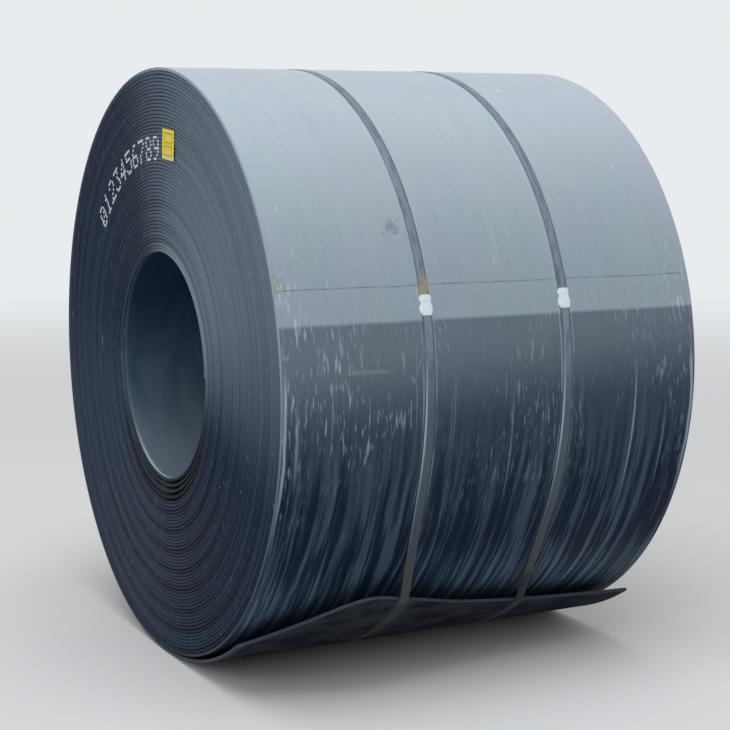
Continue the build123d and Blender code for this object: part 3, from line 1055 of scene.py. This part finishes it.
class OBJECT_OT_steel_coil_marks(bpy.types.Operator):
    """Build the end label and the counting marks"""

    bl_idname = "object.steel_coil_marks"
    bl_label = "Label and marks"

    def execute(self, context):
        winding, finish = context.scene.steel_coil_winding, context.scene.steel_coil_finish
        label = make_piece("label_sheet", *label_mesh(), [label_paper(finish)], sharp=60)
        hand_in(label, "label_paper", "end_label")
        marks = make_piece("counting_marks", *dot_mesh(winding), [marking_ink(finish)], sharp=60)
        hand_in(marks, "hot_rolled_steel")
        return {"FINISHED"}


def seen_rays(tree):
    """One for rays that show the background to the camera, in gloss and through clear pieces, else nought."""
    path = add(tree, "LightPath").node.outputs
    seen = add(tree, "Math", path["Is Camera Ray"], path["Is Glossy Ray"], **MOST)
    return add(tree, "Math", seen, path["Is Transmission Ray"], **MOST)


class SCENE_OT_steel_coil_stage(bpy.types.Operator):
    """Set the floor, the background, the soft lights and the camera"""

    bl_idname = "scene.steel_coil_stage"
    bl_label = "Stage"

    def execute(self, context):
        scene, stage = context.scene, context.scene.steel_coil_stage
        scene.view_settings.view_transform = "Standard"

        world = bpy.data.worlds.new("Pale studio")
        world.use_nodes = True
        tree = world.node_tree
        lit = add(tree, "Background", (1, 1, 1, 1), stage.sky_light)
        shown = add(tree, "Background", rgba(stage.backdrop), 1.0)
        both = add(tree, "MixShader", seen_rays(tree), lit, shown)
        tree.links.new(both, tree.nodes["World Output"].inputs["Surface"])
        scene.world = world

        floor_finish, tree = new_finish("Pale matt floor", 0.9, specular=0.0)
        shader = tree.nodes["Principled BSDF"]
        shader.inputs["Base Color"].default_value = rgba(stage.floor)
        # The floor fades into the background with the distance from the coil
        fade_from, fade_to, half = 3.5, 14.0, 60.0
        away = add(tree, "VectorMath", add(tree, "TexCoord").node.outputs["Object"], operation="LENGTH")
        fade = add(tree, "MapRange", away, fade_from, fade_to, **EASED)
        glow = add(tree, "Emission", rgba(stage.backdrop), 1.0)
        fade = add(tree, "Math", fade, seen_rays(tree), **TIMES)
        mixed = add(tree, "MixShader", fade, shader.outputs[0], glow)
        tree.links.new(mixed, tree.nodes["Material Output"].inputs["Surface"])
        corners = [(-half, -half, 0), (half, -half, 0), (half, half, 0), (-half, half, 0)]
        mesh = bpy.data.meshes.new("floor")
        mesh.from_pydata(corners, [], [(0, 1, 2, 3)])
        mesh.materials.append(floor_finish)
        floor = bpy.data.objects.new("floor", mesh)
        scene.collection.objects.link(floor)

        centre = Vector((0, 0, AXIS_Z))
        for name, place, size, watts in (
            ("overhead_softbox", (-2.0, -3.0, 12.0), 9.0, stage.top_light),
            ("side_softbox", (-9.5, -7.0, 5.5), 6.0, stage.side_light),
            ("fill_softbox", (9.5, -2.0, 4.5), 6.0, stage.fill_light),
        ):
            light = bpy.data.lights.new(name, "AREA")
            light.shape = "SQUARE"
            light.size = size
            light.energy = watts
            lamp = bpy.data.objects.new(name, light)
            lamp.location = place
            lamp.rotation_euler = (centre - Vector(place)).to_track_quat("-Z", "Y").to_euler()
            scene.collection.objects.link(lamp)

        camera = bpy.data.objects.new("camera", bpy.data.cameras.new("camera"))
        camera.data.lens = stage.lens
        camera.location = stage.camera_place
        aim = Vector(stage.camera_aim) - Vector(stage.camera_place)
        camera.rotation_euler = aim.to_track_quat("-Z", "Y").to_euler()
        scene.collection.objects.link(camera)
        scene.camera = camera
        return {"FINISHED"}


class VIEW3D_PT_steel_coil(bpy.types.Panel):
    """Sidebar panel with the coil's steps and sizes"""

    bl_idname = "VIEW3D_PT_steel_coil"
    bl_label = "Steel coil"
    bl_space_type = "VIEW_3D"
    bl_region_type = "UI"
    bl_category = "Steel coil"

    def draw(self, context):
        layout = self.layout
        for operator in STEPS:
            layout.operator(operator.bl_idname)
        for name in GROUPS:
            group = getattr(context.scene, name)
            box = layout.box()
            for key in group.bl_rna.properties.keys():
                if key not in {"rna_type", "name"}:
                    box.prop(group, key)


STEPS = (
    OBJECT_OT_steel_coil_strip,
    OBJECT_OT_steel_coil_straps,
    OBJECT_OT_steel_coil_marks,
    SCENE_OT_steel_coil_stage,
)
GROUPS = {
    "steel_coil_winding": SteelCoilWinding,
    "steel_coil_straps": SteelCoilStraps,
    "steel_coil_finish": SteelCoilFinish,
    "steel_coil_stage": SteelCoilStage,
}


def register():
    for cls in (*GROUPS.values(), *STEPS, VIEW3D_PT_steel_coil):
        bpy.utils.register_class(cls)
    for name, group in GROUPS.items():
        setattr(bpy.types.Scene, name, PointerProperty(type=group))


def unregister():
    for name in GROUPS:
        delattr(bpy.types.Scene, name)
    for cls in (VIEW3D_PT_steel_coil, *reversed(STEPS), *GROUPS.values()):
        bpy.utils.unregister_class(cls)


def main():
    register()
    bpy.ops.object.steel_coil_strip()
    bpy.ops.object.steel_coil_straps()
    bpy.ops.object.steel_coil_marks()
    bpy.ops.scene.steel_coil_stage()


if __name__ == "__main__":
    main()
